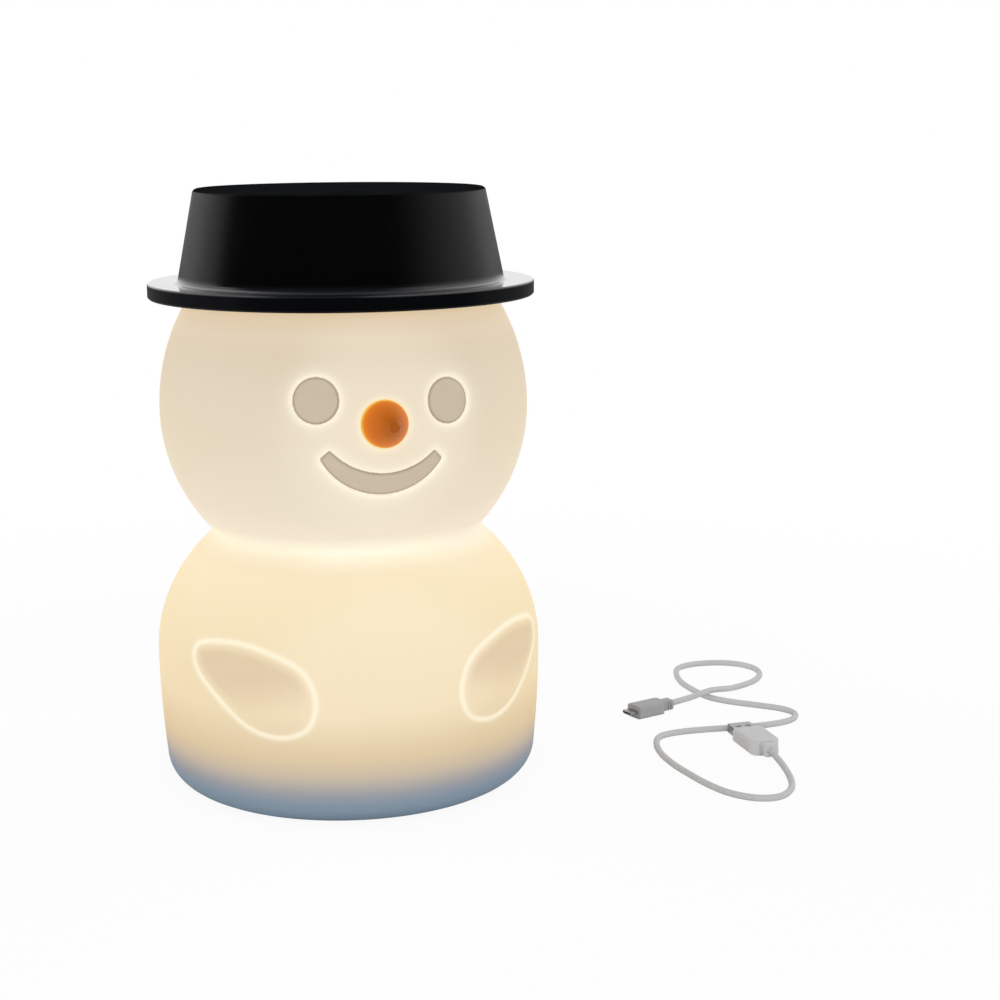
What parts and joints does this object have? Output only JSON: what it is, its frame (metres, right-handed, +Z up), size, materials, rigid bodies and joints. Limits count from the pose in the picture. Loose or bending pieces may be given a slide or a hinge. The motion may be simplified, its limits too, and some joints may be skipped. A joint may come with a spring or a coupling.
{
  "type": "snowman night light",
  "caption": "Rechargeable snowman night light: soft lit skin, orange nose, lift-off black brimmed hat, moulded base and a charging lead.",
  "frame": {"origin": "centre of the foot pad's underside, on the surface that the lamp stands on", "axes": "+Z up, the face looks along -Y, the charging port is at the rear along +Y, +X is to the right of someone who faces the lamp"},
  "size_m": [0.3481, 0.2224, 0.282],
  "materials": {
    "silicone_skin": "soft satin silicone, lit from inside",
    "grey_inlay": "matt grey silicone",
    "orange_silicone": "satin orange silicone",
    "black_hat": "fine matt moulded black",
    "white_abs": "fine matt moulded white",
    "grey_pad": "soft grey foam rubber",
    "zinc_steel": "zinc plated steel",
    "light_board": "white solder mask on aluminium",
    "led_yellow": "yellow phosphor",
    "frosted_dome": "frosted diffuser",
    "green_board": "green solder mask",
    "chip_black": "moulded black epoxy",
    "led_red": "clear red",
    "clear_pipe": "clear acrylic",
    "button_grey": "fine matt moulded pale grey",
    "cell_wrap": "blue shrink wrap",
    "wire_red": "red wire insulation",
    "wire_black": "black wire insulation",
    "lead_grey": "grey moulded plug",
    "lead_jacket": "grey lead jacket",
    "plug_steel": "nickel plated steel",
    "contact_brass": "gold plated contact"
  },
  "bodies": {
    "lamp": {"skin": "silicone_skin", "left_eye": "grey_inlay", "right_eye": "grey_inlay", "mouth": "grey_inlay", "nose": "orange_silicone", "base_housing": "white_abs", "base_cover": "white_abs", "base_pad": "grey_pad", "cover_screws": "zinc_steel", "led_board": "light_board", "leds": "led_yellow", "led_screws": "zinc_steel", "diffuser_dome": "frosted_dome", "control_board": "green_board", "board_parts": "chip_black", "board_screws": "zinc_steel", "usb_socket": "plug_steel", "status_led": "led_red", "status_light_pipe": "clear_pipe", "button_switch": "chip_black", "battery": "cell_wrap", "battery_wires": "wire_red", "led_wires": "wire_black", "micro_plug_body": "lead_grey", "micro_plug_tip": "plug_steel", "lead_cord": "lead_jacket", "usb_plug_body": "lead_grey", "usb_plug_shell": "plug_steel", "usb_plug_tongue": "white_abs", "usb_plug_contacts": "contact_brass"},
    "hat": {"hat": "black_hat"},
    "button": {"power_button": "button_grey", "switch_plunger": "white_abs"}
  },
  "joints": [
    {"name": "hat_lift", "type": "slide", "parent": "lamp", "child": "hat", "axis": [0, 0, 1], "range_m": [0, 0.06]},
    {"name": "button_press", "type": "slide", "parent": "lamp", "child": "button", "axis": [0, -1, 0], "range_m": [0, 0.0008], "stiffness_N_per_m": 400}
  ]
}
